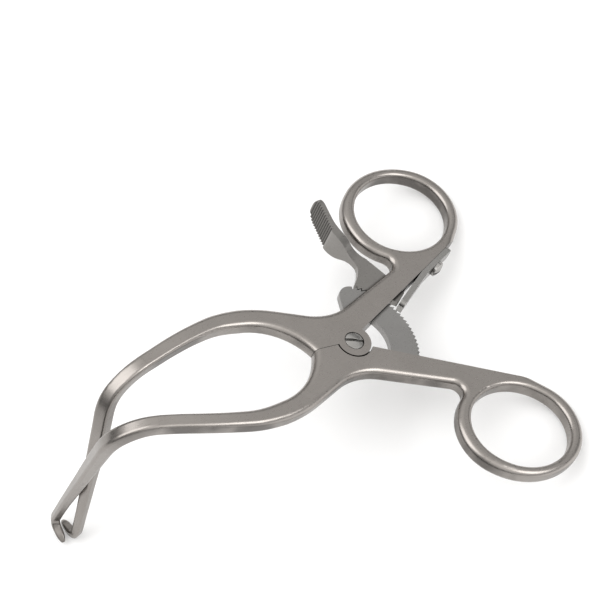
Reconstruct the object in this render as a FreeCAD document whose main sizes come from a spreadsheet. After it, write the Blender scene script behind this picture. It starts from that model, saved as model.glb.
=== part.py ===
import FreeCAD, Part
import math
import os
import Sketcher
from FreeCAD import Placement, Rotation, Vector

doc = FreeCAD.newDocument("retractor")

# Driving dimensions, in millimetres and degrees.
# The levers lie in a plan frame: origin on the joint screw's axis at mid thickness,
# +X to the finger rings, +Y to the upper lever, +Z out of the top faces.
# "Along" and "across" run along a shank and square to it, from the screw's axis.
SIZES = {
    "lever_thick": 4.8,
    "shank_angle": 27.2,
    "inner_face": 0.69,
    "blank_margin": 2.2,
    "edge_round": 1.6,
    "shank_root_along": 8.45,
    "shank_root": 8.45,
    "shank_neck_along": 25.9,
    "shank_neck": 7.15,
    "waist_round": 16.4,
    "ring_along": 47.0,
    "ring_half_length": 18.15,
    "ring_half_width": 15.75,
    "ring_end_share": 0.915,
    "ring_rim": 3.7,
    "ring_rim_side": 2.9,
    "ring_hole_shift": 0.25,
    "ring_turn": 15.5,
    "ring_hole_round": 1.2,
    "ring_corner_round": 2.6,
    "disc_radius": 4.8,
    "recess_gap": 0.42,
    "lap_gap": 0.06,
    "seam_gap": 0.12,
    "seam_end": 12.3,
    "shoulder_x": 17.5,
    "shoulder_y": 14.75,
    "shoulder_slope": 23.0,
    "arm_start_x": 28.0,
    "arm_start_y": 14.7,
    "arm_start_slope": 6.0,
    "arm_start_wide": 5.6,
    "droop_radius": 150.0,
    "droop_turn": 7.5,
    "bend_radius": 12.0,
    "leg_reach": 69.75,
    "leg_depth": 64.5,
    "leg_lean": 1.2,
    "leg_offset": 3.85,
    "section_round_start": 0.32,
    "section_round": 0.24,
    "prong_turn_radius": 3.0,
    "prong_length": 6.7,
    "prong_drop": 16.5,
    "prong_lean": 7.0,
    "prong_point": 0.8,
    "screw_radius": 1.6,
    "screw_running_gap": 0.05,
    "thread_gap": 0.01,
    "screw_head_radius": 2.55,
    "screw_head_deep": 1.15,
    "screw_dome": 0.3,
    "counterbore_gap": 0.2,
    "screw_slot_wide": 0.85,
    "screw_slot_deep": 0.75,
    "screw_slot_turn": -20.7,
    "ratchet_thick": 1.9,
    "ratchet_inner": 10.8,
    "ratchet_outer": 19.1,
    "ratchet_end_angle": 77.0,
    "ratchet_end_round": 3.5,
    "ratchet_heel_round": 1.0,
    "ratchet_root": 5.2,
    "root_gap": 0.02,
    "tooth_pitch": 3.9,
    "tooth_depth": 0.85,
    "tooth_first": 63.4,
    "tooth_count": 23,
    "tooth_steep": 0.25,
    "slot_gap": 0.3,
    "slot_end_along": 27.7,
    "travel": 46.8,
    "pin_along": 23.0,
    "pin_across": 3.6,
    "pin_radius": 0.75,
    "pin_running_gap": 0.04,
    "pawl_gap": 0.45,
    "pawl_lead": 0.75,
    "pawl_teeth": 3,
    "pawl_first": 1,
    "heel_gap": 0.3,
    "lever_swing": 6.0,
    "pad_wide": 7.8,
    "pad_root": 14.6,
    "pad_full": 25.0,
    "pad_corner": 3.0,
    "seat_gap": 0.01,
    "ridge_pitch": 0.92,
    "ridge_depth": 0.5,
    "ridge_count": 12,
    "rivet_radius": 0.8,
    "spring_thick": 1.6,
    "spring_wide": 4.6,
    "spring_end_along": 48.3,
    "spring_bend_along": 35.0,
    "spring_tip_along": 20.8,
    "spring_tip_drop": 1.9,
    "spring_screw_along": 40.7,
    "spring_screw_radius": 0.9,
    "spring_head_radius": 2.3,
    "spring_head_high": 1.6,
    "spring_head_slot": 0.6,
    "spring_head_slot_deep": 0.8,
    "spring_screw_deep": 3.6,
}

# Arm centre line and section at even steps from the arm's start to the prong's
# corner: distance of the centre line from the mid plane, section width, thickness.
ARM_STATIONS = [
    (15.0, 4.9, 4.7),
    (13.85, 4.45, 4.55),
    (12.1, 4.25, 4.4),
    (10.0, 4.1, 4.35),
    (8.05, 4.1, 4.3),
    (6.35, 4.2, 4.25),
    (4.75, 4.3, 4.0),
    (3.4, 4.25, 3.7),
    (2.15, 4.05, 3.4),
    (1.05, 3.65, 3.1),
    (-0.1, 3.2, 2.95),
    (-1.25, 2.85, 2.7),
    (-2.3, 2.6, 2.5),
    (-3.2, 2.5, 2.45),
]
for number, (across, wide, thick) in enumerate(ARM_STATIONS, start=1):
    SIZES["arm_across_%d" % number] = across
    SIZES["arm_wide_%d" % number] = wide
    SIZES["arm_thick_%d" % number] = thick

sheet = doc.addObject("Spreadsheet::Sheet", "Sizes")
for row, (name, value) in enumerate(SIZES.items(), start=1):
    sheet.set("A%d" % row, name)
    sheet.set("B%d" % row, str(value))
    sheet.setAlias("B%d" % row, name)
doc.recompute()


def size(name):
    return float(sheet.get(name))


UP = Vector(0, 0, 1)
HALF = size("lever_thick") / 2
SHANK = math.radians(size("shank_angle"))


# Points and curves of the plan

def mirror(point, side):
    return Vector(point.x, side * point.y, point.z)


def at(along, across, side=1):
    # a point given in a shank's own frame
    x = along * math.cos(SHANK) - across * math.sin(SHANK)
    y = along * math.sin(SHANK) + across * math.cos(SHANK)
    return Vector(x, side * y, 0)


def polar(radius, degrees):
    angle = math.radians(degrees)
    return Vector(radius * math.cos(angle), radius * math.sin(angle), 0)


def unit(vector):
    return vector * (1 / vector.Length)


def line(start, end):
    return Part.LineSegment(start, end)


def arc(start, middle, end):
    return Part.Arc(start, middle, end)


def arc_centre(start, direction, end):
    # centre of the circle that leaves start along direction and passes through end
    chord = end - start
    normal = Vector(-direction.y, direction.x, 0)
    return start + normal * (chord.dot(chord) / (2 * chord.dot(normal)))


def arc_middle(start, centre, end):
    radius = (start - centre).Length
    return centre + unit((start + end) * 0.5 - centre) * radius


def rounded_corner(before, corner, after, radius):
    # start, middle and end of the arc that rounds a corner between two lines
    back = unit(before - corner)
    ahead = unit(after - corner)
    half = math.acos(back.dot(ahead)) / 2
    reach = radius / math.tan(half)
    start = corner + back * reach
    end = corner + ahead * reach
    centre = corner + unit(back + ahead) * (radius / math.sin(half))
    return start, arc_middle(start, centre, end), end


def crossing(point_a, way_a, point_b, way_b):
    # where two lines of the plan cross
    across = way_a.x * way_b.y - way_a.y * way_b.x
    gap = point_b - point_a
    return point_a + way_a * ((gap.x * way_b.y - gap.y * way_b.x) / across)


def polygon(points):
    return [line(a, b) for a, b in zip(points, points[1:] + points[:1])]


# Bodies, sketches and features

def new_body(label):
    body = doc.addObject("PartDesign::Body", label)
    body.Label = label
    return body


def new_sketch(body, name, geometry, lift=0.0, placement=None):
    sketch = body.newObject("Sketcher::SketchObject", name)
    plane = [f for f in body.Origin.OriginFeatures if f.Role == "XY_Plane"][0]
    sketch.AttachmentSupport = (plane, "")
    sketch.MapMode = "FlatFace"
    sketch.AttachmentOffset = placement or Placement(Vector(0, 0, lift), Rotation())
    sketch.addGeometry(geometry, False)
    if not isinstance(geometry[0], (Part.Circle, Part.Ellipse)):
        join_ends(sketch, len(geometry))
    return sketch


def join_ends(sketch, count):
    # makes each edge's end meet the start of the next
    joints = []
    for one in range(count):
        two = (one + 1) % count
        ends = [(p, q) for p in (1, 2) for q in (1, 2)]
        p, q = min(ends, key=lambda e: (sketch.getPoint(one, e[0])
                                        - sketch.getPoint(two, e[1])).Length)
        joints.append(Sketcher.Constraint("Coincident", one, p, two, q))
    sketch.addConstraint(joints)


def pad(body, name, sketch, length, both_ways=True, reverse=False):
    feature = body.newObject("PartDesign::Pad", name)
    feature.Profile = sketch
    feature.setExpression("Length", length)
    feature.Midplane = both_ways
    feature.Reversed = reverse
    return settle(feature)


def pocket(body, name, sketch, length, both_ways=True, reverse=False):
    before = body.Tip.Shape.Volume
    feature = body.newObject("PartDesign::Pocket", name)
    feature.Profile = sketch
    feature.setExpression("Length", length)
    feature.Midplane = both_ways
    feature.Reversed = reverse
    settle(feature)
    if feature.Shape.Volume >= before:
        raise RuntimeError(name + " cuts nothing")
    return feature


def settle(feature):
    doc.recompute()
    if "Up-to-date" not in feature.State or feature.Shape.isNull():
        raise RuntimeError(feature.Name + " failed: " + str(feature.State))
    return feature


def fillet(body, name, edges, radius):
    base = body.Tip
    feature = body.newObject("PartDesign::Fillet", name)
    feature.Base = (base, edges)
    feature.setExpression("Radius", radius)
    return settle(feature)


def loft(body, name, sketches):
    feature = body.newObject("PartDesign::AdditiveLoft", name)
    feature.Profile = sketches[0]
    feature.Sections = sketches[1:]
    feature.Ruled = False
    return settle(feature)


def edges_where(shape, test):
    return ["Edge%d" % (i + 1) for i, edge in enumerate(shape.Edges) if test(edge)]


def lies_at(edge, height):
    box = edge.BoundBox
    return abs(box.ZMin - height) < 1e-4 and abs(box.ZMax - height) < 1e-4


# The finger ring

RING_TURN = math.radians(size("ring_turn"))
RING_AHEAD = polar(1, size("shank_angle") - size("ring_turn"))
RING_BESIDE = UP.cross(RING_AHEAD)


class Oval:
    # a finger ring's oval as four tangent arcs. A place on it is named by the turn of
    # its outward normal from the long axis, so each turn is one point.
    centre = Vector()

    def __init__(self, end_rim=0.0, side_rim=0.0, shift=0.0):
        long = size("ring_half_length") - end_rim
        short = size("ring_half_width") - side_rim
        self.end_radius = short * size("ring_end_share")
        self.end_centre = long - self.end_radius
        self.side_radius = ((self.end_centre ** 2 + short ** 2 - self.end_radius ** 2)
                            / (2 * (short - self.end_radius)))
        self.side_centre = self.side_radius - short
        self.join = math.atan2(self.side_centre, self.end_centre)
        self.shift = shift

    def place(self, x, y):
        return self.centre + RING_AHEAD * (x + self.shift) + RING_BESIDE * y

    def point(self, turn):
        x, y = math.cos(turn), math.sin(turn)
        if math.atan2(abs(y), abs(x)) <= self.join:
            start = math.copysign(self.end_centre, x)
            return self.place(start + x * self.end_radius, y * self.end_radius)
        start = -math.copysign(self.side_centre, y)
        return self.place(x * self.side_radius, start + y * self.side_radius)

    def way(self, turn):
        return RING_BESIDE * math.cos(turn) - RING_AHEAD * math.sin(turn)

    def nearest(self, point):
        # turn of the oval's nearest place and how far outside it the point lies
        away = point - self.centre
        x, y = away.dot(RING_AHEAD) - self.shift, away.dot(RING_BESIDE)
        out_x, out_y, radius = abs(x) - self.end_centre, abs(y), self.end_radius
        if math.atan2(out_y, out_x) > self.join:
            out_x, out_y, radius = abs(x), abs(y) + self.side_centre, self.side_radius
        turn = math.atan2(math.copysign(out_y, y), math.copysign(out_x, x))
        return turn % (2 * math.pi), math.hypot(out_x, out_y) - radius

    def arcs(self, first, last, side):
        # the oval's arcs from one turn on to a greater one, on either lever
        breaks = [first, last]
        for n in range(-2, 5):
            breaks += [n * math.pi - self.join, n * math.pi + self.join]
        breaks = sorted(t for t in breaks if first <= t <= last)
        edges = []
        for one, two in zip(breaks, breaks[1:]):
            if two - one > 1e-6:
                ends = [self.point(t) for t in (one + 1e-9, (one + two) / 2, two - 1e-9)]
                edges.append(arc(*[mirror(p, side) for p in ends]))
        return edges


# the outer oval just touches the shank's inner face
RING_TOUCH = RING_TURN - math.pi / 2
RING_REACH = -Oval().point(RING_TOUCH).dot(at(0, 1))
Oval.centre = at(size("ring_along"), size("inner_face") + RING_REACH)


def ring_corner():
    # the round between the shank's outer side and the ring: its end on the shank,
    # its middle, its end on the ring and that end's turn on the oval
    radius = size("ring_corner_round")
    oval = Oval()
    neck = at(size("shank_neck_along"), size("shank_neck"))
    way = unit(neck - at(size("shank_root_along"), size("shank_root")))
    out = Vector(-way.y, way.x, 0)
    near, far = 0.0, (oval.centre - neck).dot(way)
    for _ in range(60):
        middle = (near + far) / 2
        centre = neck + way * middle + out * radius
        turn, gap = oval.nearest(centre)
        if gap > radius:
            near = middle
        else:
            far = middle
    on_shank = neck + way * near
    on_ring = oval.point(turn)
    return on_shank, arc_middle(on_shank, centre, on_ring), on_ring, turn


# The lever's blank in plan

ARM_SLOPE = math.radians(size("arm_start_slope"))
ARM_WAY = Vector(-math.cos(ARM_SLOPE), math.sin(ARM_SLOPE), 0)
ARM_OUT = Vector(math.sin(ARM_SLOPE), math.cos(ARM_SLOPE), 0)
ARM_START = Vector(-size("arm_start_x"), size("arm_start_y"), 0)
BLANK_PAST = 3.0


def blank_outline(side):
    # the forged blank: every edge that is machined later stands proud by the margin
    margin = size("blank_margin")
    oval = Oval()
    touch_turn = RING_TOUCH + 0.35
    touch = oval.point(touch_turn)
    low = size("inner_face") - margin
    foot = crossing(touch, oval.way(touch_turn), at(0, low), at(1, 0))
    inner_start = at(size("disc_radius"), low)

    root = at(size("shank_root_along"), size("shank_root"))
    neck = at(size("shank_neck_along"), size("shank_neck"))
    corner_in, corner_middle, corner_out, corner_turn = ring_corner()
    slope = math.radians(size("shoulder_slope"))
    arm_way = Vector(-math.cos(slope), math.sin(slope), 0)
    shoulder = Vector(-size("shoulder_x"), size("shoulder_y"), 0)
    corner = crossing(root, neck - root, shoulder, arm_way)
    waist = rounded_corner(root, corner, shoulder, size("waist_round"))

    outer = ARM_START + ARM_OUT * (size("arm_start_wide") / 2)
    inner = ARM_START - ARM_OUT * (size("arm_start_wide") / 2)
    past = ARM_WAY * BLANK_PAST
    outer_centre = arc_centre(shoulder, arm_way, outer)
    seam = Vector(-size("seam_end"), 0, 0)
    inner_centre = arc_centre(inner, ARM_WAY * -1, seam)
    inner_radius = (inner - inner_centre).Length
    drop = -margin - inner_centre.y
    hem = Vector(inner_centre.x + math.sqrt(inner_radius ** 2 - drop ** 2), -margin, 0)

    def m(point):
        return mirror(point, side)

    origin_hem = Vector(0, -margin, 0)
    return [
        line(m(hem), m(origin_hem)),
        line(m(origin_hem), m(inner_start)),
        line(m(inner_start), m(foot)),
        line(m(foot), m(touch)),
    ] + oval.arcs(touch_turn, corner_turn, side) + [
        arc(m(corner_out), m(corner_middle), m(corner_in)),
        line(m(corner_in), m(waist[0])),
        arc(m(waist[0]), m(waist[1]), m(waist[2])),
        line(m(waist[2]), m(shoulder)),
        arc(m(shoulder), m(arc_middle(shoulder, outer_centre, outer)), m(outer)),
        line(m(outer), m(outer + past)),
        line(m(outer + past), m(inner + past)),
        line(m(inner + past), m(inner)),
        arc(m(inner), m(seam), m(hem)),
    ]


def machined_side(side):
    # everything past the seam and past the shank's inner face
    seam = size("seam_gap") / 2
    face = size("inner_face")
    foot = crossing(at(0, face), at(1, 0), Vector(0, seam, 0), Vector(1, 0, 0))
    far = size("ring_along") + size("ring_half_length") * 2
    points = [
        Vector(-size("arm_start_x"), seam, 0),
        Vector(min(foot.x, 0), seam, 0),
        at(0, face) if foot.x < 0 else foot,
        at(far, face),
        at(far, face - size("ring_half_length")),
        Vector(-size("arm_start_x"), -size("ring_half_length"), 0),
    ]
    return polygon([mirror(p, side) for p in points])


def arm_end(side):
    wide = size("arm_start_wide")
    points = [
        ARM_START + ARM_OUT * wide,
        ARM_START - ARM_OUT * wide,
        ARM_START - ARM_OUT * wide + ARM_WAY * (BLANK_PAST * 2),
        ARM_START + ARM_OUT * wide + ARM_WAY * (BLANK_PAST * 2),
    ]
    return polygon([mirror(p, side) for p in points])


# The bent arm and its prong

def smooth(values, place):
    # a curve through evenly spaced values, at a place from 0 to len(values) - 1
    i = min(int(place), len(values) - 2)
    f = place - i
    p1, p2 = values[i], values[i + 1]
    p0 = values[i - 1] if i > 0 else 2 * p1 - p2
    p3 = values[i + 2] if i + 2 < len(values) else 2 * p2 - p1
    return 0.5 * (2 * p1 + (p2 - p0) * f + (2 * p0 - 5 * p1 + 4 * p2 - p3) * f ** 2
                  + (3 * p1 - p0 - 3 * p2 + p3) * f ** 3)


STATIONS = range(1, len(ARM_STATIONS) + 1)
ACROSS = [size("arm_start_y")] + [size("arm_across_%d" % n) for n in STATIONS]
WIDE = [size("arm_start_wide")] + [size("arm_wide_%d" % n) for n in STATIONS]
THICK = [size("lever_thick")] + [size("arm_thick_%d" % n) for n in STATIONS]


class ArmPath:
    # straight on from the start, a slight droop, the bend, then down along the leg

    def __init__(self, side):
        self.side = side
        self.wide = size("droop_radius")
        self.tight = size("bend_radius")
        self.droop = math.radians(size("droop_turn"))
        self.steep = math.radians(90 + size("leg_lean"))
        reach = size("leg_reach") - side * size("leg_offset") / 2
        self.flat = (reach - size("arm_start_x") - self.wide * math.sin(self.droop)
                     - self.tight * (1 - math.sin(self.droop)))
        self.bend_start = self.flat + self.wide * self.droop
        self.bend_end = self.bend_start + self.tight * (self.steep - self.droop)
        foot = self.in_plane(self.bend_end)
        leg = (size("leg_depth") + foot.z) / math.sin(self.steep)
        self.length = self.bend_end + leg

    def in_plane(self, run):
        # the path seen from the side
        start = -size("arm_start_x")
        if run <= self.flat:
            return Vector(start - run, 0, 0)
        turn = min((run - self.flat) / self.wide, self.droop)
        x = start - self.flat - self.wide * math.sin(turn)
        z = self.wide * (math.cos(turn) - 1)
        if run <= self.bend_start:
            return Vector(x, 0, z)
        turn = min(self.droop + (run - self.bend_start) / self.tight, self.steep)
        x -= self.tight * (math.sin(turn) - math.sin(self.droop))
        z += self.tight * (math.cos(turn) - math.cos(self.droop))
        rest = max(run - self.bend_end, 0) if turn == self.steep else 0
        return Vector(x - rest * math.cos(turn), 0, z - rest * math.sin(turn))

    def point(self, run):
        across = smooth(ACROSS, run / self.length * len(ARM_STATIONS))
        return self.in_plane(run) + Vector(0, self.side * across, 0)

    def way(self, run):
        if run <= 0:
            return mirror(ARM_WAY, self.side)
        return unit(self.point(run + 0.2) - self.point(run - 0.2))

    def section(self, run):
        place = run / self.length * len(ARM_STATIONS)
        return smooth(WIDE, place), smooth(THICK, place)

    def corner(self, run):
        # the corners' share of the section's smaller side: softest at the start
        first, last = size("section_round_start"), size("section_round")
        return last + (first - last) * max(0, 1 - run / self.flat / 2)


def rounded_section(body, name, placement, wide, thick, share):
    # a rounded rectangle, its corners a share of the smaller side
    corner = share * min(wide, thick)
    x, y = wide / 2, thick / 2
    inset = corner * (1 - math.sqrt(0.5))
    sketch_edges = []
    for sx, sy in ((1, -1), (1, 1), (-1, 1), (-1, -1)):
        first = Vector(sx * (x - corner), sy * y, 0)
        second = Vector(sx * x, sy * (y - corner), 0)
        middle = Vector(sx * (x - inset), sy * (y - inset), 0)
        if sx * sy > 0:
            first, second = second, first
        sketch_edges.append((first, middle, second))
    geometry = []
    for i, (first, middle, second) in enumerate(sketch_edges):
        geometry.append(arc(first, middle, second))
        geometry.append(line(second, sketch_edges[(i + 1) % 4][0]))
    return new_sketch(body, name, geometry, placement=placement)


def carried(vector, old_way, new_way):
    # turns a section's side direction as its path turns
    return Rotation(old_way, new_way).multVec(vector)


def add_arm(body, side):
    path = ArmPath(side)
    lean = math.radians(size("prong_lean"))
    drop = math.radians(size("prong_drop"))
    prong = unit(Vector(-side * math.tan(lean) * math.cos(drop),
                        side * math.cos(drop), -math.sin(drop)))
    leg_way = path.way(path.length - 0.5)
    turn = math.acos(leg_way.dot(prong))
    radius = size("prong_turn_radius")
    short = radius * math.tan(turn / 2)
    leg_end = path.length - short
    bend = path.bend_end - path.bend_start
    leg = leg_end - path.bend_end
    runs = [path.bend_start * k / 5 for k in range(5)]
    runs += [path.bend_start + bend * k / 4 for k in range(4)]
    runs += [path.bend_end + leg * k / 8 for k in range(9)]

    sketches = []
    way = path.way(0)
    beside = mirror(ARM_OUT, side)
    for number, run in enumerate(runs):
        new_way = path.way(run) if run < leg_end else leg_way
        beside = carried(beside, way, new_way)
        way = new_way
        wide, thick = path.section(run)
        turned = Rotation(beside, way.cross(beside), way, "ZXY")
        sketches.append(rounded_section(body, "ArmSection%d" % number,
                                        Placement(path.point(run), turned), wide, thick,
                                        path.corner(run)))
    loft(body, "Arm", sketches)

    # the prong turns out of the leg on a small arc and tapers to its point
    start = path.point(leg_end)
    wide, thick = path.section(leg_end)
    aside = unit(prong - leg_way * prong.dot(leg_way))
    straight = size("prong_length") - short
    steps = [(turn * k / 3, 0) for k in range(4)]
    steps += [(turn, straight * k / 3) for k in range(1, 4)]
    shares = [1.0, 1.0, 0.98, 0.95, 0.9, 0.78, None]
    sketches = []
    for number, ((bent, run), share) in enumerate(zip(steps, shares)):
        new_way = leg_way * math.cos(bent) + aside * math.sin(bent)
        place = (start + leg_way * (radius * math.sin(bent))
                 + aside * (radius * (1 - math.cos(bent))) + new_way * run)
        beside = carried(beside, way, new_way)
        way = new_way
        turned = Rotation(beside, way.cross(beside), way, "ZXY")
        point = size("prong_point")
        section = (wide * share, thick * share) if share else (point, point)
        sketches.append(rounded_section(body, "ProngSection%d" % number,
                                        Placement(place, turned), *section,
                                        size("section_round")))
    loft(body, "Prong", sketches)


# The levers

def make_lever(label, side):
    body = new_body(label)
    pad(body, "Blank", new_sketch(body, "BlankOutline", blank_outline(side)),
        "Sizes.lever_thick")
    fillet(body, "BlankEdges",
           edges_where(body.Tip.Shape, lambda e: lies_at(e, HALF) or lies_at(e, -HALF)),
           "Sizes.edge_round")
    hole = Oval(size("ring_rim"), size("ring_rim_side"), size("ring_hole_shift"))
    pocket(body, "FingerHole",
           new_sketch(body, "FingerHoleOval", hole.arcs(0, 2 * math.pi, side)),
           "Sizes.lever_thick * 2")

    def on_hole(edge):
        middle = edge.valueAt((edge.FirstParameter + edge.LastParameter) / 2)
        return ((lies_at(edge, HALF) or lies_at(edge, -HALF))
                and abs(hole.nearest(mirror(middle, side))[1]) < 0.05)

    fillet(body, "HoleEdges", edges_where(body.Tip.Shape, on_hole), "Sizes.ring_hole_round")
    pocket(body, "InnerFace", new_sketch(body, "InnerFaceCut", machined_side(side)),
           "Sizes.lever_thick * 2")
    pocket(body, "ArmEnd", new_sketch(body, "ArmEndCut", arm_end(side)),
           "Sizes.lever_thick * 2")

    # half-lapped joint: this lever's disc fills one half of the thickness and the
    # other half is recessed for the disc of the other lever
    lap = size("lap_gap") / 2
    disc = Part.Circle(Vector(), UP, size("disc_radius"))
    recess = Part.Circle(Vector(), UP, size("disc_radius") + size("recess_gap"))
    pad(body, "JointDisc", new_sketch(body, "JointDiscOutline", [disc],
                                      lift=lap if side > 0 else -HALF),
        "(Sizes.lever_thick - Sizes.lap_gap) / 2", both_ways=False)
    pocket(body, "JointRecess", new_sketch(body, "JointRecessOutline", [recess],
                                           lift=side * lap),
           "(Sizes.lever_thick + Sizes.lap_gap) / 2", both_ways=False, reverse=side < 0)
    add_arm(body, side)
    return body


def polar_line_hit(radius, across, side):
    # where a circle about the screw's axis crosses a line at this distance across
    return at(math.sqrt(radius ** 2 - across ** 2), across, side)


def arc_about(radius, start, end):
    # an arc about the screw's axis between two points of that radius
    return arc(start, unit(start + end) * radius, end)


def drill(body, name, circles, length, lift=0.0, both_ways=True, reverse=False):
    return pocket(body, name, new_sketch(body, name + "Circles", circles, lift=lift),
                  length, both_ways=both_ways, reverse=reverse)


def upright_circle(point, radius):
    return Part.Circle(point, UP, radius)


def shank_plane(point, normal, side_way):
    # placement of a sketch that looks along normal and has side_way as its X
    return Placement(point, Rotation(side_way, normal.cross(side_way), normal, "ZXY"))


PIN = at(size("pin_along"), size("pin_across"))
SCREW_HOLE = size("screw_radius") + size("screw_running_gap")
INNER_WAY = at(0, 1)


def finish_upper_lever(body):
    # window through the shank for the ratchet bar and the release lever
    inner = size("ratchet_inner") - size("slot_gap") - 0.1
    last = size("ratchet_end_angle") + size("travel") + 3
    start = polar(inner, last)
    end = polar(inner, size("shank_angle") - 6)
    middle = polar(inner, (last + size("shank_angle") - 6) / 2)
    far = size("ratchet_outer") * 1.4
    outline = [
        arc(start, middle, end),
        line(end, at(size("slot_end_along"), -3)),
        line(at(size("slot_end_along"), -3), at(size("slot_end_along"), far)),
        line(at(size("slot_end_along"), far), polar(far, last)),
        line(polar(far, last), start),
    ]
    pocket(body, "RatchetWindow", new_sketch(body, "RatchetWindowOutline", outline),
           "Sizes.ratchet_thick + Sizes.slot_gap * 2")
    drill(body, "JointHole", [upright_circle(Vector(), SCREW_HOLE)],
          "Sizes.lever_thick * 2")
    drill(body, "Counterbore",
          [upright_circle(Vector(), size("screw_head_radius") + size("counterbore_gap"))],
          "Sizes.screw_head_deep", lift=HALF, both_ways=False)
    drill(body, "LeverPinHole", [upright_circle(PIN, size("pin_radius") + size("seat_gap"))],
          "Sizes.lever_thick * 2")
    face = at(size("spring_screw_along"), size("inner_face"))
    hole = Part.Circle(Vector(), UP, size("spring_screw_radius") + size("seat_gap"))
    sketch = new_sketch(body, "SpringScrewHoleCircle", [hole],
                        placement=shank_plane(face, INNER_WAY, UP))
    pocket(body, "SpringScrewHole", sketch, "Sizes.spring_screw_deep + 0.15",
           both_ways=False, reverse=True)


def rivet_points():
    across = (size("inner_face") + size("ratchet_root")) / 2
    middle = (size("ratchet_inner") + size("ratchet_outer")) / 2
    return [at(middle + step, across, -1) for step in (-2.6, 1.8)]


def finish_lower_lever(body):
    gap = size("root_gap")
    outer, inner = size("ratchet_outer") + gap, size("ratchet_inner") - gap
    deep, above = size("ratchet_root") + gap, -1.0
    a = polar_line_hit(outer, above, -1)
    b = polar_line_hit(outer, deep, -1)
    c = polar_line_hit(inner, deep, -1)
    d = polar_line_hit(inner, above, -1)
    outline = [arc_about(outer, a, b), line(b, c), arc_about(inner, c, d), line(d, a)]
    pocket(body, "RatchetSeat", new_sketch(body, "RatchetSeatOutline", outline),
           "Sizes.ratchet_thick + Sizes.root_gap * 2")
    radius = size("screw_radius") + size("seat_gap")
    drill(body, "JointHole", [upright_circle(Vector(), radius)], "Sizes.lever_thick * 2")
    radius = size("rivet_radius") + size("seat_gap")
    drill(body, "RivetHoles", [upright_circle(p, radius) for p in rivet_points()],
          "Sizes.lever_thick * 0.82", lift=-HALF, both_ways=False, reverse=True)


# The ratchet bar

def tooth_angles():
    return [size("tooth_first") - n * size("tooth_pitch")
            for n in range(int(size("tooth_count")) + 1)]


def end_round(radius, corner, outside):
    # centre angle offset and end-line distance of a corner round at the bar's end
    reach = radius - corner if outside else radius + corner
    offset = math.degrees(math.asin(corner / reach))
    return reach, offset, math.sqrt(reach ** 2 - corner ** 2)


def make_ratchet_bar():
    body = new_body("ratchet_bar")
    outer, inner = size("ratchet_outer"), size("ratchet_inner")
    root = outer - size("tooth_depth")
    end = size("ratchet_end_angle")
    edges = []
    angles = tooth_angles()
    for one, two in zip(angles, angles[1:]):
        low = polar(root, one - size("tooth_steep"))
        edges.append(line(polar(outer, one), low))
        edges.append(line(low, polar(outer, two)))
    deep = size("ratchet_root")
    a = polar(outer, angles[-1])
    b = polar_line_hit(outer, deep, -1)
    c = polar_line_hit(inner, deep, -1)
    edges.append(arc_about(outer, a, b))
    edges.append(line(b, c))
    reach, offset, out = end_round(inner, size("ratchet_heel_round"), False)
    d = polar(inner, end - offset)
    edges.append(arc_about(inner, c, d))
    e = polar(out, end)
    centre = polar(reach, end - offset)
    edges.append(arc(d, arc_middle(d, centre, e), e))
    reach, offset, out = end_round(outer, size("ratchet_end_round"), True)
    f = polar(out, end)
    g = polar(outer, end - offset)
    centre = polar(reach, end - offset)
    edges.append(line(e, f))
    edges.append(arc(f, arc_middle(f, centre, g), g))
    edges.append(arc_about(outer, g, polar(outer, angles[0])))
    pad(body, "Bar", new_sketch(body, "BarOutline", edges), "Sizes.ratchet_thick")
    radius = size("rivet_radius") + size("seat_gap")
    drill(body, "BarRivetHoles", [upright_circle(p, radius) for p in rivet_points()],
          "Sizes.ratchet_thick * 2")
    return body


# The release lever

def curve(points):
    spline = Part.BSplineCurve()
    spline.interpolate(points)
    return spline


PAD_FRONT = [(22.3, 14.5), (23.05, 18.0), (23.3, 22.1), (23.75, 25.4)]
PAD_TOP = (30.1, 35.85)
PAD_BACK = [(31.05, 34.7), (28.4, 29.6), (26.9, 26.6), (26.1, 23.6), (25.8, 19.5),
            (26.4, 14.3)]
PLATE_FRONT = [(16.75, 11.2), (19.8, 12.4), (21.6, 13.6)]


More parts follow.
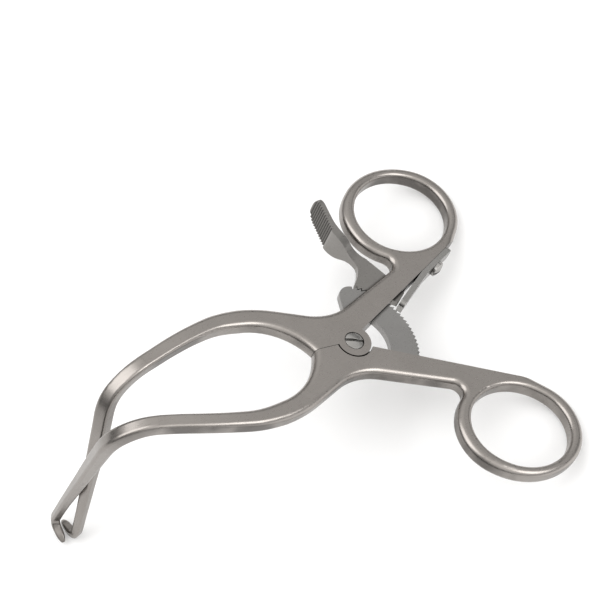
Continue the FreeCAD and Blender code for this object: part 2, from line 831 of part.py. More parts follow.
def make_release_lever():
    body = new_body("release_lever")
    gap, lead = size("pawl_gap"), size("pawl_lead")
    outer = size("ratchet_outer") + gap
    root = outer - size("tooth_depth")
    first = int(size("pawl_first"))
    angles = tooth_angles()[first:first + int(size("pawl_teeth")) + 1]
    points = []
    for one in angles[:-1]:
        points.append(polar(outer, one - lead))
        points.append(polar(root, one - lead - size("tooth_steep")))
    points.append(polar(outer, angles[-1] - lead))

    # the underside: past the ratchet's teeth, then along the spring to the heel
    slope = size("spring_tip_drop") / (size("spring_bend_along") - size("spring_tip_along"))

    def spring_face(along):
        return size("inner_face") - slope * (size("spring_bend_along") - along)

    turn = math.radians(size("lever_swing"))
    heel_front, heel_back = size("pin_along") - 1.6, size("pin_along") + 2.4
    sag = turn * (heel_back - size("pin_along"))
    points += [at(19.0, 5.4), at(19.9, 3.6), at(20.6, 1.2),
               at(heel_front, spring_face(heel_front) + size("heel_gap")),
               at(heel_back, spring_face(heel_back) + size("heel_gap") + sag),
               at(26.2, 1.2), at(26.35, 7.0), at(*PAD_BACK[-1])]
    edges = [line(a, b) for a, b in zip(points, points[1:])]
    edges.append(curve([at(*p) for p in reversed(PAD_BACK)]))
    # the thumb face is cut with ridges
    foot, top = at(*PAD_FRONT[-1]), at(*PAD_TOP)
    way = unit(foot - top)
    inward = UP.cross(way)
    ridge = [top]
    for n in range(int(size("ridge_count"))):
        peak = top + way * (size("ridge_pitch") * n + 0.35)
        if n == 0:
            ridge.append(peak)
        valley = peak + way * (size("ridge_pitch") / 2) + inward * size("ridge_depth")
        ridge += [valley, peak + way * size("ridge_pitch")]
    ridge.append(foot)
    edges.append(line(at(*PAD_BACK[0]), top))
    edges += [line(a, b) for a, b in zip(ridge, ridge[1:])]
    edges.append(curve([at(*p) for p in reversed(PAD_FRONT)]))
    rest = [at(*PAD_FRONT[0])] + [at(*p) for p in reversed(PLATE_FRONT)] + [points[0]]
    edges += [line(a, b) for a, b in zip(rest, rest[1:])]
    pad(body, "LeverBlank", new_sketch(body, "LeverOutline", edges), "Sizes.pad_wide")

    # seen from the front the lever is a thin plate that flares to the thumb pad
    plate, wide = size("ratchet_thick") / 2, size("pad_wide") / 2
    start, full, corner = size("pad_root"), size("pad_full"), size("pad_corner")
    end = max(PAD_TOP[1], PAD_BACK[0][1]) + 0.02
    inset = corner * (1 - math.sqrt(0.5))
    middle = Vector((start + full) / 2, (plate + wide) / 2, 0)
    low = Vector(start, plate, 0)
    high = Vector(full, wide, 0)
    far = wide + 3
    for number, up in enumerate((1, -1), start=1):
        def m(x, y):
            return Vector(x, up * y, 0)

        sweep_low = m(start + (full - start) * 0.32, plate + (wide - plate) * 0.16)
        sweep_high = m(start + (full - start) * 0.68, plate + (wide - plate) * 0.84)
        mid = m(middle.x, middle.y)
        outline = [
            line(m(-6, far), m(-6, plate)),
            line(m(-6, plate), m(low.x, low.y)),
            arc(m(low.x, low.y), sweep_low, mid),
            arc(mid, sweep_high, m(high.x, high.y)),
            line(m(high.x, high.y), m(end - corner, wide)),
            arc(m(end - corner, wide), m(end - inset, wide - inset), m(end, wide - corner)),
            line(m(end, wide - corner), m(end + 3, wide - corner)),
            line(m(end + 3, wide - corner), m(end + 3, far)),
            line(m(end + 3, far), m(-6, far)),
        ]
        placement = Placement(Vector(), Rotation(INNER_WAY, UP, INNER_WAY.cross(UP), "ZXY"))
        pocket(body, "PadSide%d" % number,
               new_sketch(body, "PadSideOutline%d" % number, outline, placement=placement),
               "Sizes.ring_along * 3")
    drill(body, "PinHole", [upright_circle(PIN, size("pin_radius") + size("pin_running_gap"))],
          "Sizes.pad_wide * 2")
    return body


# The leaf spring

def make_leaf_spring():
    body = new_body("leaf_spring")
    seat = size("inner_face") - size("seat_gap")
    thick = size("spring_thick")
    bend, tip = size("spring_bend_along"), size("spring_tip_along")
    end = size("spring_end_along")
    drop = size("spring_tip_drop")
    way = unit(Vector(bend - tip, drop, 0))
    beside = Vector(way.y, -way.x, 0)
    half = math.atan2(drop, bend - tip) / 2
    near_tip = Vector(tip, seat - drop, 0)
    far_tip = near_tip + beside * thick
    far_bend = Vector(bend + thick * math.tan(half), seat - thick, 0)
    flat = [Vector(end, seat, 0), Vector(bend, seat, 0), near_tip, far_tip, far_bend,
            Vector(end, seat - thick, 0)]
    outline = polygon([at(p.x, p.y) for p in flat])
    pad(body, "Leaf", new_sketch(body, "LeafOutline", outline), "Sizes.spring_wide")
    hole = Part.Circle(Vector(), UP, size("spring_screw_radius") + 0.1)
    face = at(size("spring_screw_along"), size("inner_face"))
    pocket(body, "LeafHole", new_sketch(body, "LeafHoleCircle", [hole],
                                        placement=shank_plane(face, INNER_WAY, UP)),
           "Sizes.spring_thick * 4")
    corners = edges_where(body.Tip.Shape, is_leaf_corner)
    fillet(body, "LeafCorners", corners, "Sizes.spring_wide * 0.3")
    return body


def is_leaf_corner(edge):
    # short edges through the leaf's thickness at its two ends
    if abs(edge.Length - size("spring_thick")) > 0.02 or len(edge.Vertexes) != 2:
        return False
    return edge.BoundBox.ZLength < 1e-3


# The screws and pins

def make_turned(label, points, dome, placement):
    # a turned piece: its profile runs from the axis at the foot to the dome's edge
    body = new_body(label)
    edge, top = points[-1], Vector(0, dome, 0)
    rise = dome - edge.y
    radius = (edge.x ** 2 + rise ** 2) / (2 * rise)
    centre = Vector(0, dome - radius, 0)
    edges = [line(a, b) for a, b in zip(points, points[1:])]
    edges.append(arc(edge, arc_middle(edge, centre, top), top))
    edges.append(line(top, points[0]))
    sketch = new_sketch(body, label + "_profile", edges, placement=placement)
    feature = body.newObject("PartDesign::Revolution", label + "_turned")
    feature.Profile = sketch
    feature.ReferenceAxis = (sketch, ["V_Axis"])
    feature.Angle = 360
    settle(feature)
    return body


def add_slot(body, placement, wide, long, length):
    x, y = long / 2, wide / 2
    outline = polygon([Vector(-x, -y, 0), Vector(x, -y, 0), Vector(x, y, 0),
                       Vector(-x, y, 0)])
    pocket(body, "DriverSlot", new_sketch(body, "DriverSlotOutline", outline,
                                          placement=placement),
           length, both_ways=False)


def make_joint_screw():
    head = size("screw_head_radius")
    under = HALF - size("screw_head_deep") + size("screw_running_gap")
    points = [Vector(0, -HALF, 0), Vector(size("screw_radius"), -HALF, 0),
              Vector(size("screw_radius"), under, 0), Vector(head, under, 0),
              Vector(head, HALF - 0.05, 0)]
    top = HALF + size("screw_dome")
    placement = Placement(Vector(), Rotation(Vector(1, 0, 0), UP, Vector(0, -1, 0), "ZXY"))
    body = make_turned("joint_screw", points, top, placement)
    turn = Rotation(UP, size("screw_slot_turn"))
    add_slot(body, Placement(Vector(0, 0, top), turn), size("screw_slot_wide"),
             head * 3, "Sizes.screw_slot_deep")
    return body


def make_spring_screw():
    head = size("spring_head_radius")
    shank = size("spring_screw_radius")
    foot = at(size("spring_screw_along"),
              size("inner_face") - size("spring_thick") - size("seat_gap") * 2)
    down = INNER_WAY * -1
    deep = -(size("spring_screw_deep") + size("spring_thick"))
    high = size("spring_head_high")
    points = [Vector(0, deep, 0), Vector(shank, deep, 0), Vector(shank, 0, 0),
              Vector(head, 0, 0), Vector(head, high * 0.6, 0)]
    placement = Placement(foot, Rotation(UP, down, UP.cross(down), "ZXY"))
    body = make_turned("spring_screw", points, high, placement)
    slot = shank_plane(foot + down * high, down, at(1, 0))
    add_slot(body, slot, size("spring_head_slot"), head * 3, "Sizes.spring_head_slot_deep")
    return body


def make_cylinder(name, point, radius, height):
    pin = doc.addObject("Part::Cylinder", name)
    pin.setExpression("Radius", radius)
    pin.setExpression("Height", height)
    pin.Placement = Placement(point, Rotation())
    return pin


def make_pins():
    rivets = [make_cylinder("Rivet%d" % (n + 1), p - UP * HALF, "Sizes.rivet_radius",
                            "Sizes.lever_thick * 0.8")
              for n, p in enumerate(rivet_points())]
    group = doc.addObject("Part::Compound", "ratchet_pins")
    group.Label = "ratchet_pins"
    group.Links = rivets
    pin = make_cylinder("lever_pin", PIN - UP * HALF, "Sizes.pin_radius",
                        "Sizes.lever_thick")
    pin.Label = "lever_pin"
    doc.recompute()
    return [group, pin]


upper = make_lever("upper_lever", 1)
finish_upper_lever(upper)
lower = make_lever("lower_lever", -1)
finish_lower_lever(lower)
nodes = [upper, lower, make_ratchet_bar(), make_release_lever(), make_leaf_spring(),
         make_joint_screw(), make_spring_screw()] + make_pins()

# The instrument rests on its two finger rings and its two prongs. It is turned about
# the cross axis until both touch the ground, then set down on the origin.
cloud = []
for lever in (upper, lower):
    cloud += lever.Shape.tessellate(0.02)[0]


def lean_gap(degrees):
    # height of the rings' lowest point over the prongs' lowest point
    turn = math.radians(degrees)
    heights = [(p.x, p.z * math.cos(turn) - p.x * math.sin(turn)) for p in cloud]
    return min(z for x, z in heights if x > 0) - min(z for x, z in heights if x < 0)


near, far = 0.0, 60.0
for _ in range(50):
    middle = (near + far) / 2
    if lean_gap(middle) > 0:
        near = middle
    else:
        far = middle
tilt = Placement(Vector(), Rotation(Vector(0, 1, 0), near))
box = FreeCAD.BoundBox()
for node in nodes:
    shape = node.Shape.copy()
    shape.Placement = tilt.multiply(shape.Placement)
    box.add(shape.optimalBoundingBox(False))
shift = Vector(-box.Center.x, -box.Center.y, -box.ZMin)
row = Placement(shift, Rotation()).multiply(tilt)
for node in nodes:
    node.Placement = row.multiply(node.Placement)
doc.recompute()

for item in doc.Objects:
    if "Invalid" in item.State or "Error" in item.State:
        raise RuntimeError(item.Name + " is not sound: " + str(item.State))
os.makedirs("parts", exist_ok=True)
for node in nodes:
    shape = node.Shape
    if shape.isNull() or not shape.isValid():
        raise RuntimeError(node.Label + " has no sound shape")
    shape.exportStep(os.path.join("parts", node.Label + ".step"))
    print(node.Label, len(shape.Solids), round(shape.Volume, 1))
print("tilt", near, "shift", shift)
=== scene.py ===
import math

import bpy
from mathutils import Matrix, Vector


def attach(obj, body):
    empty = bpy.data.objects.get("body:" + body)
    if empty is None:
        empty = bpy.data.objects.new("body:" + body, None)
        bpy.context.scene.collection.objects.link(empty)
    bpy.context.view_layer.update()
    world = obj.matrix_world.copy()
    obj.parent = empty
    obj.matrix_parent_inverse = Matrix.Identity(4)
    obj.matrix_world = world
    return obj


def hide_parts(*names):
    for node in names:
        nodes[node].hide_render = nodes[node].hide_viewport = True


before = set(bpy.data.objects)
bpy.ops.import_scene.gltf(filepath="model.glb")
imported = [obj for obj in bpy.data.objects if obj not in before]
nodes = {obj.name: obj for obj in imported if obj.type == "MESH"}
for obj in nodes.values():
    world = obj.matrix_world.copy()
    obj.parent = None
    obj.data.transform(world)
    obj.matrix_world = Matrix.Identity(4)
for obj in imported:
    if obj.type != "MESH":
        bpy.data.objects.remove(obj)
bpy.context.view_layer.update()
scene = bpy.context.scene

# A self-holding surgical retractor of satin steel on a plain white floor. It stands on
# its finger rings and its prongs. This is how far the plane of its levers leans from
# level ground.
TILT = math.radians(28.6775462487134)


# Camera

# The photograph's own viewpoint: place in metres, lens and sensor in millimetres
CAMERA_PLACE = Vector((-0.02069711, -0.25481187, 0.59286628))
CAMERA_RIGHT = Vector((0.89444525, -0.42321797, -0.14440996))
CAMERA_UP = Vector((0.44307376, 0.79510323, 0.41412135))
CAMERA_LENS = 139.97
SENSOR_WIDTH = 36.0
NEAREST_SEEN = 0.01
FARTHEST_SEEN = 20.0


def add_camera():
    data = bpy.data.cameras.new("camera")
    data.sensor_width = SENSOR_WIDTH
    data.sensor_fit = "HORIZONTAL"
    data.lens = CAMERA_LENS
    data.clip_start = NEAREST_SEEN
    data.clip_end = FARTHEST_SEEN
    camera = bpy.data.objects.new("camera", data)
    scene.collection.objects.link(camera)
    back = CAMERA_RIGHT.cross(CAMERA_UP)
    turn = Matrix((CAMERA_RIGHT, CAMERA_UP, back)).transposed().to_4x4()
    camera.matrix_world = Matrix.Translation(CAMERA_PLACE) @ turn
    scene.camera = camera


# Shader helpers

def grey(level):
    return (level, level, level)


def new_material(name):
    material = bpy.data.materials.new(name)
    material.use_nodes = True
    tree = material.node_tree
    tree.nodes.clear()
    return material, tree


def add_node(tree, kind, **values):
    node = tree.nodes.new(kind)
    for key, value in values.items():
        setattr(node, key, value)
    return node


def noise(tree, vector, scale, detail, roughness=0.55):
    node = add_node(tree, "ShaderNodeTexNoise")
    node.inputs["Scale"].default_value = scale
    node.inputs["Detail"].default_value = detail
    node.inputs["Roughness"].default_value = roughness
    tree.links.new(vector, node.inputs["Vector"])
    return node.outputs["Fac"]


def remap(tree, value, low, high, out_low, out_high):
    node = add_node(tree, "ShaderNodeMapRange")
    node.inputs["From Min"].default_value = low
    node.inputs["From Max"].default_value = high
    node.inputs["To Min"].default_value = out_low
    node.inputs["To Max"].default_value = out_high
    tree.links.new(value, node.inputs["Value"])
    return node.outputs["Result"]


def ramp(tree, value, stops):
    node = add_node(tree, "ShaderNodeValToRGB")
    elements = node.color_ramp.elements
    while len(elements) < len(stops):
        elements.new(0.5)
    for element, (place, colour) in zip(elements, stops):
        element.position = place
        element.color = (*colour, 1.0)
    tree.links.new(value, node.inputs["Fac"])
    return node.outputs["Color"]


def blend(tree, share, first, second):
    # first where share is 0 and second where it is 1; first may be a plain number
    node = add_node(tree, "ShaderNodeMix", data_type="FLOAT")
    tree.links.new(share, node.inputs[0])
    if isinstance(first, float):
        node.inputs[2].default_value = first
    else:
        tree.links.new(first, node.inputs[2])
    tree.links.new(second, node.inputs[3])
    return node.outputs[0]


# Steel

# Patterns, with scales per metre. The limits are the part of a noise that is used. The
# streaks' scale is a share of the grain's, and they run long along the instrument.
NOISE_LIMITS = (0.3, 0.7)
CLOUD_SCALE = 60.0
CLOUD_STRENGTH = 0.5
GRAIN_TONES = (0.13, 0.19)
GRAIN_BUMP = 0.2
STREAK_SCALE = 0.6
STREAK_SHAPE = (0.12, 1.0, 1.0)
STREAK_TONES = (-0.05, 0.05)

# Where the sum of these patterns gives the dark colour and where it gives the light one
DARK_AT = 0.2
LIGHT_AT = 0.7

# Painted shade in narrow gaps and corners: how far away a neighbour darkens the steel, in
# metres, and how open a place has to be to keep its full tone
GAP_SHADE_REACH = 0.0011
GAP_SHADE_OPEN = 0.93

# Painted light on the levers' faces by how squarely they look up: 1 is the flat top, 0 an
# upright wall; half-up edges get a painted highlight
FACE_LIGHT_TONES = [(0.55, grey(1.25)), (0.8, grey(1.2)), (0.95, grey(1.0))]
WALL_SHADE_LIMITS = (0.25, 0.6)
SHADE_PATCH_SCALE = 85.0
SHADE_PATCH_LIMITS = (0.38, 0.62)

# The legs past the bend have one even tone in place of the painted light and shade by
# facing.
# It takes over between these two places along the instrument, in metres.
LEG_TONE = 0.9
LEG_LIMITS = (-0.052, -0.03)


def face_shade(tree, place, wall_shade):
    # painted light by facing: flat tops keep their tone, half-up edges get a painted
    # highlight, and walls a darker, patchy painted shade
    direction = add_node(tree, "ShaderNodeTexCoord").outputs["Normal"]
    dot = add_node(tree, "ShaderNodeVectorMath", operation="DOT_PRODUCT")
    tree.links.new(direction, dot.inputs[0])
    dot.inputs[1].default_value = (math.sin(TILT), 0.0, math.cos(TILT))
    size = add_node(tree, "ShaderNodeMath", operation="ABSOLUTE")
    tree.links.new(dot.outputs["Value"], size.inputs[0])
    squarely = size.outputs["Value"]
    cloud = noise(tree, place, SHADE_PATCH_SCALE, detail=2.0)
    # patchy painted shade on the walls
    wall_shade_patches = remap(tree, cloud, *SHADE_PATCH_LIMITS, *wall_shade)
    facing_light = ramp(tree, squarely, FACE_LIGHT_TONES)
    upward = remap(tree, squarely, *WALL_SHADE_LIMITS, 0.0, 1.0)
    shade = blend(tree, upward, wall_shade_patches, facing_light)
    split = add_node(tree, "ShaderNodeSeparateXYZ")
    tree.links.new(place, split.inputs["Vector"])
    near = remap(tree, split.outputs["X"], *LEG_LIMITS, 0.0, 1.0)
    return blend(tree, near, LEG_TONE, shade)


def steel(name, dark, light, rough, grain, grain_depth,
          bevel=0.0, gap_shade_tone=0.45, gap_shade_closed=0.35, wall_shade=None):
    # satin stainless steel: cloudy tone, fine blasted grain, faint polishing streaks along
    # the arms, and painted shade in the narrow gaps and corners; with a wall shade range
    # given, also painted light by facing
    material, tree = new_material(name)
    out = add_node(tree, "ShaderNodeOutputMaterial")
    shader = add_node(tree, "ShaderNodeBsdfPrincipled")
    shader.inputs["Metallic"].default_value = 1.0
    tree.links.new(shader.outputs["BSDF"], out.inputs["Surface"])
    place = add_node(tree, "ShaderNodeTexCoord").outputs["Object"]
    cloud = noise(tree, place, CLOUD_SCALE, detail=3.0)
    fine = noise(tree, place, grain, detail=2.5, roughness=0.5)
    long = add_node(tree, "ShaderNodeMapping")
    long.inputs["Scale"].default_value = STREAK_SHAPE
    tree.links.new(place, long.inputs["Vector"])
    streaks = noise(tree, long.outputs["Vector"], grain * STREAK_SCALE, detail=3.0)

    # colour
    tone = add_node(tree, "ShaderNodeMath", operation="MULTIPLY_ADD")
    tree.links.new(cloud, tone.inputs[0])
    tone.inputs[1].default_value = CLOUD_STRENGTH
    tree.links.new(remap(tree, fine, *NOISE_LIMITS, *GRAIN_TONES), tone.inputs[2])
    total = add_node(tree, "ShaderNodeMath", operation="ADD")
    tree.links.new(tone.outputs["Value"], total.inputs[0])
    tree.links.new(remap(tree, streaks, *NOISE_LIMITS, *STREAK_TONES), total.inputs[1])
    colour = ramp(tree, total.outputs["Value"], [(DARK_AT, dark), (LIGHT_AT, light)])
    # painted shade: the colour darkens where other surfaces are near, as in gaps, slots
    # and corners
    gap = add_node(tree, "ShaderNodeAmbientOcclusion", samples=16)
    gap.inputs["Distance"].default_value = GAP_SHADE_REACH
    shade = remap(tree, gap.outputs["AO"], gap_shade_closed, GAP_SHADE_OPEN, gap_shade_tone, 1.0)
    # painted light and shade by how the levers' faces look up, multiplied into the painted
    # gap shade
    if wall_shade:
        together = add_node(tree, "ShaderNodeMath", operation="MULTIPLY")
        tree.links.new(shade, together.inputs[0])
        tree.links.new(face_shade(tree, place, wall_shade), together.inputs[1])
        shade = together.outputs["Value"]
    shaded = add_node(tree, "ShaderNodeVectorMath", operation="SCALE")
    tree.links.new(colour, shaded.inputs["Vector"])
    tree.links.new(shade, shaded.inputs["Scale"])
    tree.links.new(shaded.outputs["Vector"], shader.inputs["Base Color"])

    # polish and grain
    tree.links.new(remap(tree, streaks, *NOISE_LIMITS, *rough), shader.inputs["Roughness"])
    bump = add_node(tree, "ShaderNodeBump")
    bump.inputs["Strength"].default_value = GRAIN_BUMP
    bump.inputs["Distance"].default_value = grain_depth
    tree.links.new(fine, bump.inputs["Height"])
    if bevel:
        soft = add_node(tree, "ShaderNodeBevel", samples=6)
        soft.inputs["Radius"].default_value = bevel
        tree.links.new(soft.outputs["Normal"], bump.inputs["Normal"])
    tree.links.new(bump.outputs["Normal"], shader.inputs["Normal"])
    return material


def paint(names, material):
    for name in names:
        mesh = nodes[name].data
        mesh.materials.clear()
        mesh.materials.append(material)


# Floor, sky and lamps

# The floor lies a little under the prongs and rings, in metres. Its glow whitens the
# background. Only the camera, reflections and glass see it, so it adds no other light.
FLOOR_HALF = 3.0
FLOOR_DROP = 0.0002
FLOOR_TONE = 0.84
FLOOR_GLOW = 0.13

# The sky by height: a dark horizon under a bright, slightly warm ceiling
SKY_STRENGTH = 1.1
SKY_BY_HEIGHT = [
    (0.0, (0.3, 0.3, 0.3)),
    (0.07, (0.14, 0.14, 0.14)),
    (0.2, (0.34, 0.34, 0.34)),
    (0.4, (0.88, 0.877, 0.87)),
    (0.7, (0.97, 0.963, 0.95)),
    (1.0, (1.0, 0.99, 0.975)),
]

# The sky around the object: brighter and darker panels
SKY_AROUND = [
    (0.0, grey(0.9)),
    (0.1, grey(0.4)),
    (0.2, grey(0.9)),
    (0.34, grey(1.2)),
    (0.42, grey(1.15)),
    (0.5, grey(0.85)),
    (0.58, grey(1.0)),
    (0.68, grey(1.0)),
    (0.78, grey(0.5)),
    (0.9, grey(0.6)),
    (1.0, grey(0.9)),
]

# Both lamps point at this place, in metres
LAMPS_AIM = Vector((0.0, 0.0, 0.02))


def add_floor():
    mesh = bpy.data.meshes.new("floor")
    corners = [(-1, -1), (1, -1), (1, 1), (-1, 1)]
    mesh.from_pydata([(x * FLOOR_HALF, y * FLOOR_HALF, 0.0) for x, y in corners],
                     [], [(0, 1, 2, 3)])
    floor = bpy.data.objects.new("floor", mesh)
    scene.collection.objects.link(floor)
    floor.location.z = -FLOOR_DROP
    material, tree = new_material("floor_white")
    out = add_node(tree, "ShaderNodeOutputMaterial")
    diffuse = add_node(tree, "ShaderNodeBsdfDiffuse")
    diffuse.inputs["Color"].default_value = (*grey(FLOOR_TONE), 1.0)
    glow = add_node(tree, "ShaderNodeEmission")
    glow.inputs["Color"].default_value = (*grey(1.0), 1.0)
    glow.inputs["Strength"].default_value = FLOOR_GLOW
    both = add_node(tree, "ShaderNodeAddShader")
    tree.links.new(diffuse.outputs["BSDF"], both.inputs[0])
    tree.links.new(glow.outputs["Emission"], both.inputs[1])
    rays = add_node(tree, "ShaderNodeLightPath")
    seen = rays.outputs["Is Camera Ray"]
    for other in ("Is Glossy Ray", "Is Transmission Ray"):
        either = add_node(tree, "ShaderNodeMath", operation="MAXIMUM")
        tree.links.new(seen, either.inputs[0])
        tree.links.new(rays.outputs[other], either.inputs[1])
        seen = either.outputs["Value"]
    mix = add_node(tree, "ShaderNodeMixShader")
    tree.links.new(seen, mix.inputs["Fac"])
    tree.links.new(diffuse.outputs["BSDF"], mix.inputs[1])
    tree.links.new(both.outputs["Shader"], mix.inputs[2])
    tree.links.new(mix.outputs["Shader"], out.inputs["Surface"])
    mesh.materials.append(material)


def add_world():
    world = bpy.data.worlds.new("studio")
    scene.world = world
    world.use_nodes = True
    tree = world.node_tree
    tree.nodes.clear()
    out = add_node(tree, "ShaderNodeOutputWorld")
    sky = add_node(tree, "ShaderNodeBackground")
    sky.inputs["Strength"].default_value = SKY_STRENGTH
    way = add_node(tree, "ShaderNodeTexCoord").outputs["Generated"]
    split = add_node(tree, "ShaderNodeSeparateXYZ")
    tree.links.new(way, split.inputs["Vector"])
    around = add_node(tree, "ShaderNodeTexGradient", gradient_type="RADIAL")
    tree.links.new(way, around.inputs["Vector"])
    both = add_node(tree, "ShaderNodeVectorMath", operation="MULTIPLY")
    tree.links.new(ramp(tree, split.outputs["Z"], SKY_BY_HEIGHT), both.inputs[0])
    tree.links.new(ramp(tree, around.outputs["Fac"], SKY_AROUND), both.inputs[1])
    tree.links.new(both.outputs["Vector"], sky.inputs["Color"])
    tree.links.new(sky.outputs["Background"], out.inputs["Surface"])


def add_lamp(name, place, wide, high, watts):
    data = bpy.data.lights.new(name, "AREA")
    data.shape = "RECTANGLE"
    data.size = wide
    data.size_y = high
    data.energy = watts
    lamp = bpy.data.objects.new(name, data)
    scene.collection.objects.link(lamp)
    lamp.location = place
    way = LAMPS_AIM - Vector(place)
    lamp.rotation_euler = way.to_track_quat("-Z", "Y").to_euler()


# The arms where they leave the levers

# The first length of each arm is drawn again as one smooth run, from the lever's flat
# blank as far as the end of its first droop. It covers a faint crease in the solid, which
# is drawn in under it. Sizes are in millimetres in the levers' own frame: origin on the
# joint screw, +X to the rings, +Y to the upper lever and +Z out of their top. A run is
# also a length along an arm from where it leaves the blank, and side is 1 for the upper
# lever and -1 for the lower one.
MM = 0.001
LEVERS_PLACE = Vector((23.8461295, 0.0, 26.6243485))
LEVER_FRAME = Matrix.Translation(LEVERS_PLACE) @ Matrix.Rotation(TILT, 4, "Y")
ARM_START = 28.0
ARM_SLOPE = math.radians(6.0)

# For each side, the length that stays level and the arm's whole length
ARM_LENGTHS = {1: (9.812, 98.056), -1: (13.662, 101.906)}
DROOP_RADIUS = 150.0
DROOP_TURN = math.radians(7.5)

# The distance from the middle line, the width and the thickness at places along the arm
# that are a fourteenth of its length apart. The first value only guides the curve.
ARM_PLACES = 14
ACROSS = [13.5, 14.7, 15.0, 13.85, 12.1, 10.0, 8.05, 6.35]
WIDE = [6.3, 5.6, 4.9, 4.45, 4.25, 4.1, 4.1, 4.2]
THICK = [4.9, 4.8, 4.7, 4.55, 4.4, 4.35, 4.3, 4.25]

# The corners' radius as a share of the smaller side, at the start and further along
CORNER_FIRST = 1 / 3
CORNER_LAST = 0.24

# Steps round a corner, along the run, to either side of a place, and of the search
CORNER_STEPS = 6
RUN_STEPS = 60
NUDGE = 0.1
SEARCH_STEPS = 12

# How far the run's surface stands out from the plan, how deep its first row hides inside
# the blank, and how fast its last rows sink into the lever
STANDS_OUT = 0.012
HIDDEN_FIRST = -0.06
SINKS_BY = 0.05

# The place of the first row, and the places of the last rows past the end
FIRST_ROW = -0.05
LAST_ROWS = (0.4, 0.8)

# The share by which the lever is drawn in under the run, and the length before the run's
# end in which that goes back to nothing. The points that may move lie past the blank's
# end, give or take the margin, and above the leg.
DRAWN_IN = 0.2
DRAWN_BACK = 5.0
DRAWN_FROM = 0.03
BLANK_MARGIN = 0.4
LEG_TOP = -6.0


def curve_value(values, place):
    # the height of a smooth curve through evenly spaced values
    i = int(place)
    f = place - i
    p0, p1, p2, p3 = values[i:i + 4]
    return 0.5 * (2 * p1 + (p2 - p0) * f + (2 * p0 - 5 * p1 + 4 * p2 - p3) * f ** 2
                  + (3 * p1 - p0 - 3 * p2 + p3) * f ** 3)


def arm_place(side, run):
    return max(run, 0.0) / ARM_LENGTHS[side][1] * ARM_PLACES


def arm_point(side, run):
    level = ARM_LENGTHS[side][0]
    across = curve_value(ACROSS, arm_place(side, run))
    across += min(run, 0.0) * math.tan(ARM_SLOPE)
    if run <= level:
        return Vector((-ARM_START - run, side * across, 0.0))
    turn = (run - level) / DROOP_RADIUS
    return Vector((-ARM_START - level - DROOP_RADIUS * math.sin(turn), side * across,
                   DROOP_RADIUS * (math.cos(turn) - 1)))


def arm_way(side, run):
    ahead = arm_point(side, run + NUDGE)
    behind = arm_point(side, run - NUDGE)
    return (ahead - behind).normalized()


def arm_end(side):
    return ARM_LENGTHS[side][0] + DROOP_RADIUS * DROOP_TURN


def nearest_run(side, point):
    # the run at which the arm comes nearest to a point, found by walking along the arm
    end = arm_end(side)
    run = -ARM_START - point.x
    for _ in range(SEARCH_STEPS):
        on_arm = min(max(run, 0.0), end)
        run += (point - arm_point(side, on_arm)).dot(arm_way(side, on_arm))
        run = min(max(run, -1.0), end + 1)
    return run


def section_points(wide, thick, corner, swell):
    # a rounded rectangle as points with their outward directions
    x = wide / 2 - corner
    y = thick / 2 - corner
    reach = corner + swell
    points = []
    for number, (sx, sy) in enumerate(((1, 1), (-1, 1), (-1, -1), (1, -1))):
        for k in range(CORNER_STEPS + 1):
            angle = math.pi / 2 * (number + k / CORNER_STEPS)
            out = (math.cos(angle), math.sin(angle))
            points.append((sx * x + out[0] * reach, sy * y + out[1] * reach, out))
    return points


def run_swell(run, end):
    if run < 0:
        return HIDDEN_FIRST
    if run > end:
        return STANDS_OUT - SINKS_BY * (run - end)
    return STANDS_OUT


def add_arm_run(name, side, body, material):
    end = arm_end(side)
    level = ARM_LENGTHS[side][0]
    runs = [FIRST_ROW]
    runs += [end * k / RUN_STEPS for k in range(RUN_STEPS + 1)]
    runs += [end + more for more in LAST_ROWS]

    # rows of points round the arm, turned along with it
    beside = Vector((math.sin(ARM_SLOPE), side * math.cos(ARM_SLOPE), 0.0))
    way = Vector((-math.cos(ARM_SLOPE), side * math.sin(ARM_SLOPE), 0.0))
    verts = []
    outs = []
    for number, run in enumerate(runs):
        new_way = arm_way(side, run) if number > 1 else way
        beside = way.rotation_difference(new_way) @ beside
        beside = (beside - new_way * beside.dot(new_way)).normalized()
        way = new_way
        up = way.cross(beside) * -side
        wide = curve_value(WIDE, arm_place(side, run))
        thick = curve_value(THICK, arm_place(side, run))
        early = max(0.0, 1 - run / level / 2)
        corner = (CORNER_LAST + (CORNER_FIRST - CORNER_LAST) * early) * min(wide, thick)
        middle = arm_point(side, run)
        for x, y, out in section_points(wide, thick, corner, run_swell(run, end)):
            verts.append(LEVER_FRAME @ (middle + beside * x + up * y) * MM)
            outs.append(LEVER_FRAME.to_3x3() @ (beside * out[0] + up * out[1]))

    # faces between the rows, and one at each end
    count = len(verts) // len(runs)
    faces = []
    for row in range(len(runs) - 1):
        for k in range(count):
            a = row * count + k
            b = row * count + (k + 1) % count
            faces.append((a, b, b + count, a + count))
    faces.append(tuple(reversed(range(count))))
    faces.append(tuple(range(len(verts) - count, len(verts))))
    mesh = bpy.data.meshes.new(name)
    mesh.from_pydata([tuple(vert) for vert in verts], [], faces)
    mesh.update()
    if mesh.polygons[count].normal.dot(outs[count]) < 0:
        mesh.flip_normals()
    for face in mesh.polygons:
        face.use_smooth = True
    mesh.normals_split_custom_set_from_vertices([tuple(out) for out in outs])
    mesh.materials.append(material)
    piece = bpy.data.objects.new(name, mesh)
    scene.collection.objects.link(piece)
    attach(piece, body)


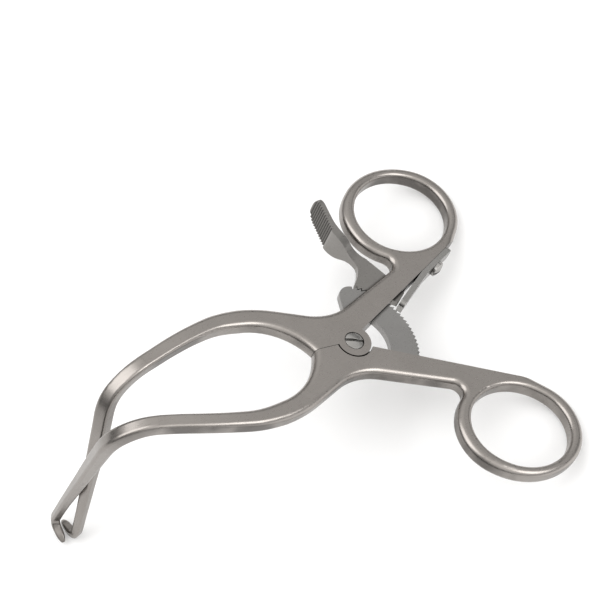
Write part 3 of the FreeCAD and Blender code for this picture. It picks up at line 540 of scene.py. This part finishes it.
def add_lever(node_name, side, body, material):
    # the lever itself, drawn in where the arm's first length covers it
    node = nodes[node_name]
    mesh = node.data.copy()
    mesh.name = node_name + "_drawn"
    to_lever = LEVER_FRAME.inverted() @ Matrix.Scale(1 / MM, 4) @ node.matrix_world
    from_lever = to_lever.inverted()
    end = arm_end(side)
    for vertex in mesh.vertices:
        point = to_lever @ vertex.co
        if point.x > -ARM_START + BLANK_MARGIN or point.z < LEG_TOP or side * point.y < 0:
            continue
        run = nearest_run(side, point)
        if DRAWN_FROM < run < end:
            middle = arm_point(side, run)
            inward = DRAWN_IN * min(1.0, (end - run) / DRAWN_BACK)
            vertex.co = from_lever @ (middle + (point - middle) * (1 - inward))
    mesh.materials.clear()
    mesh.materials.append(material)
    piece = bpy.data.objects.new(node_name + "_drawn", mesh)
    scene.collection.objects.link(piece)
    piece.matrix_world = node.matrix_world.copy()
    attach(piece, body)
    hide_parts(node_name)


# The scene

add_camera()
add_floor()
add_world()
add_lamp("key", (-0.35, 0.25, 0.9), wide=1.0, high=1.0, watts=6.0)
add_lamp("fill", (0.7, -0.5, 0.6), wide=0.6, high=0.4, watts=2.5)

# Every steel gets painted shade in its gaps, deeper on the release lever's ridged pad and
# around the screws; only the levers get painted light by facing
lever_steel = steel("satin_lever_steel", (0.265, 0.246, 0.23), (0.365, 0.34, 0.32),
                    rough=(0.26, 0.33), grain=2600.0, grain_depth=0.000006,
                    wall_shade=(0.45, 0.95))
release_steel = steel("release_lever_steel", (0.212, 0.203, 0.192), (0.31, 0.298, 0.284),
                      rough=(0.26, 0.38), grain=2600.0, grain_depth=0.00002,
                      gap_shade_tone=0.25, gap_shade_closed=0.6)
ratchet_steel = steel("ratchet_steel", (0.25, 0.244, 0.237), (0.35, 0.343, 0.334),
                      rough=(0.26, 0.38), grain=3000.0, grain_depth=0.00001)
spring_steel = steel("spring_steel", (0.27, 0.263, 0.252), (0.37, 0.362, 0.35),
                     rough=(0.22, 0.32), grain=3200.0, grain_depth=0.00001,
                     bevel=0.00015)
screw_steel = steel("screw_steel", (0.33, 0.322, 0.31), (0.45, 0.44, 0.425),
                    rough=(0.18, 0.28), grain=3200.0, grain_depth=0.00001,
                    bevel=0.00015, gap_shade_tone=0.2)
paint(["upper_lever", "lower_lever", "ratchet_pins", "lever_pin"], lever_steel)
paint(["release_lever"], release_steel)
paint(["ratchet_bar"], ratchet_steel)
paint(["leaf_spring"], spring_steel)
paint(["joint_screw", "spring_screw"], screw_steel)
add_lever("upper_lever", 1, "upper_half", lever_steel)
add_lever("lower_lever", -1, "lower_half", lever_steel)
add_arm_run("upper_arm_run", 1, "upper_half", lever_steel)
add_arm_run("lower_arm_run", -1, "lower_half", lever_steel)

scene.view_settings.view_transform = "Standard"
